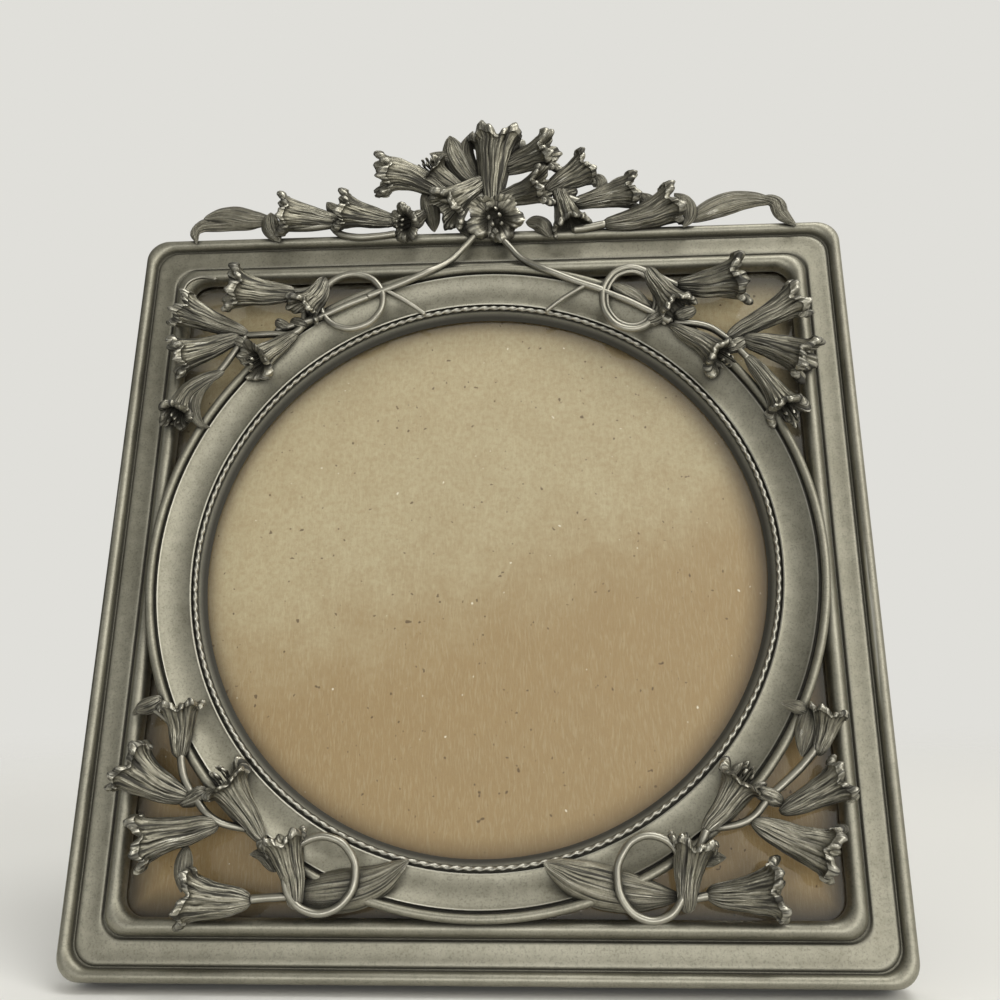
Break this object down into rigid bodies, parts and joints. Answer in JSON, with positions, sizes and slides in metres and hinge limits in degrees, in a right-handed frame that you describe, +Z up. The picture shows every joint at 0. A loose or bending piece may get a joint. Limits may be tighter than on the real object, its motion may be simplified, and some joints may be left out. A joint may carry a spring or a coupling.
{
  "type": "pewter picture frame",
  "caption": "Square cast pewter tabletop picture frame with a round opening, trumpet-vine corners and crest, and a velvet easel back.",
  "frame": {"origin": "the middle of the footprint, on the table", "axes": "+Z up, +X to the right seen from the front, the face looks along -Y and leans back, the easel leg stands behind it"},
  "size_m": [0.15, 0.0854, 0.1746],
  "materials": {
    "pewter": "cast pewter, satin, with a dark antique patina in its recesses",
    "dark_pewter": "twisted pewter wire, darkened between its strands",
    "clear_glass": "clear sheet glass",
    "kraft_card": "unprinted brown kraft card with flecks",
    "fibreboard": "brown fibreboard",
    "navy_velvet": "navy velvet, short pile",
    "brassed_steel": "brass, satin"
  },
  "bodies": {
    "frame": {"outer_moulding": "pewter", "ring_mat": "pewter", "rope_edge": "dark_pewter", "crest_centre": "pewter", "crest_left": "pewter", "crest_right": "pewter", "spray_top_left": "pewter", "spray_top_right": "pewter", "spray_bottom_left": "pewter", "spray_bottom_right": "pewter", "glass_pane": "clear_glass", "picture_card": "kraft_card", "back_board": "fibreboard", "back_velvet": "navy_velvet", "button_screw_upper_left": "brassed_steel", "button_screw_lower_left": "brassed_steel", "button_screw_upper_right": "brassed_steel", "button_screw_lower_right": "brassed_steel", "hinge_leaf_upper": "brassed_steel", "hinge_pin": "brassed_steel", "board_rivet_1": "brassed_steel", "board_rivet_2": "brassed_steel"},
    "leg": {"leg_velvet": "navy_velvet", "easel_leg": "fibreboard", "hinge_leaf_lower": "brassed_steel", "leg_rivet_1": "brassed_steel", "leg_rivet_2": "brassed_steel"},
    "button_upper_left": {"turn_button_upper_left": "brassed_steel"},
    "button_lower_left": {"turn_button_lower_left": "brassed_steel"},
    "button_upper_right": {"turn_button_upper_right": "brassed_steel"},
    "button_lower_right": {"turn_button_lower_right": "brassed_steel"}
  },
  "joints": [
    {"name": "leg_hinge", "type": "hinge", "parent": "frame", "child": "leg", "pos_m": [0, -0.00315, 0.09598], "axis": [1, 0, 0], "range_deg": [-38, 0]},
    {"name": "button_upper_left_turn", "type": "hinge", "parent": "frame", "child": "button_upper_left", "pos_m": [-0.0712, -0.00126, 0.10997], "axis": [0, -0.9659, 0.2588], "continuous": true},
    {"name": "button_lower_left_turn", "type": "hinge", "parent": "frame", "child": "button_lower_left", "pos_m": [-0.0712, -0.02094, 0.03656], "axis": [0, -0.9659, 0.2588], "continuous": true},
    {"name": "button_upper_right_turn", "type": "hinge", "parent": "frame", "child": "button_upper_right", "pos_m": [0.0712, -0.00126, 0.10997], "axis": [0, -0.9659, 0.2588], "continuous": true},
    {"name": "button_lower_right_turn", "type": "hinge", "parent": "frame", "child": "button_lower_right", "pos_m": [0.0712, -0.02094, 0.03656], "axis": [0, -0.9659, 0.2588], "continuous": true}
  ]
}
